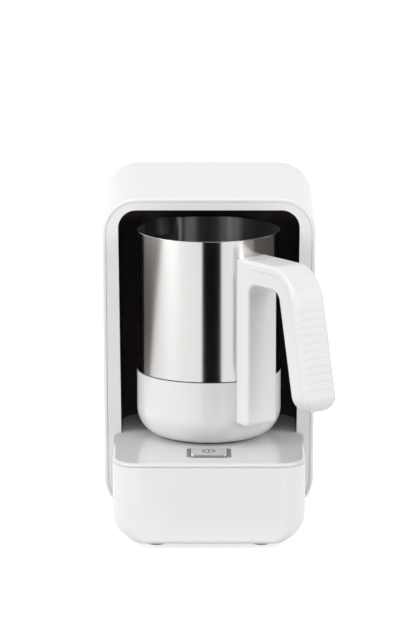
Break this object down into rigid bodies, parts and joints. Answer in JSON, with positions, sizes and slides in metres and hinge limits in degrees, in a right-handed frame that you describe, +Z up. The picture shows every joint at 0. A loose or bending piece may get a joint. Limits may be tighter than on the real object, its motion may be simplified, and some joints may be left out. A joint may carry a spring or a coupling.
{
  "type": "electric turkish coffee maker",
  "caption": "Electric Turkish coffee maker: a rounded arch housing over a low base, with a lift-out steel jug on a dock and a push button on the deck.",
  "frame": {"origin": "middle of the footprint's box, on the plane that the feet stand on", "axes": "+Z up; -Y to the front, where the base and the button are; +X to the right seen from the front"},
  "size_m": [0.1642, 0.2362, 0.2386],
  "materials": {
    "white_gloss": "moulded gloss white housing plastic",
    "white_handle": "moulded white handle plastic, satin on the ribbed cover",
    "dark_liner": "dark brown-black glossy liner",
    "dark_plastic": "dark moulded plastic",
    "steel": "vertically reflecting brushed stainless steel",
    "button_metal": "brushed metal key and dark metal surround",
    "rubber_foot": "pale rubber foot",
    "seal": "dark silicone seal",
    "circuit": "circuit board laminate",
    "contact_brass": "contact metal",
    "aluminium": "heating plate",
    "screw_steel": "zinc plated screw steel",
    "gland_rubber": "dark rubber bush"
  },
  "bodies": {
    "machine": {"arch_shell": "white_gloss", "front_bezel": "white_gloss", "niche_liner": "dark_liner", "back_cover": "white_gloss", "cord_gland": "gland_rubber", "base_shell": "white_gloss", "deck_cover": "white_gloss", "dock_plate": "dark_plastic", "contact_carrier": "dark_plastic", "contact_pins": "contact_brass", "foot_front_left": "rubber_foot", "foot_front_right": "rubber_foot", "foot_back_left": "rubber_foot", "foot_back_right": "rubber_foot", "button_frame": "button_metal", "button_guide": "dark_plastic", "push_switch": "dark_plastic", "control_board": "circuit", "power_board": "circuit", "back_screws": "screw_steel", "control_screws": "screw_steel", "power_screws": "screw_steel", "buzzer": "dark_plastic", "control_chip": "dark_plastic", "power_relay": "dark_plastic", "transformer": "dark_plastic", "capacitor": "dark_plastic", "terminal_block": "dark_plastic", "sensor_lens": "dark_plastic", "sensor_board": "circuit"},
    "jug": {"jug_steel": "steel", "jug_cup": "white_gloss", "joint_seal": "seal", "socket_plate": "dark_plastic", "contact_rings": "contact_brass", "heater_plate": "aluminium", "heater_element": "steel", "thermal_cutout": "screw_steel", "handle_core": "white_handle", "handle_cover": "white_handle", "handle_bracket": "steel"},
    "button": {"button_cap": "button_metal", "button_spring": "screw_steel"},
    "switch": {"switch_plunger": "dark_plastic"}
  },
  "joints": [
    {"name": "jug_lift", "type": "slide", "parent": "machine", "child": "jug", "axis": [0, -0.9833, 0.1822], "range_m": [0, 0.16]},
    {"name": "button_press", "type": "slide", "parent": "machine", "child": "button", "axis": [0, 0, -1], "range_m": [0, 0.0014], "stiffness_N_per_m": 600, "deforming": ["button_spring"]},
    {"name": "switch_press", "type": "slide", "parent": "machine", "child": "switch", "axis": [0, 0, -1], "range_m": [0, 0.0014]}
  ],
  "couplings": [
    {"joint": "switch_press", "follows": "button_press", "ratio": 1}
  ]
}
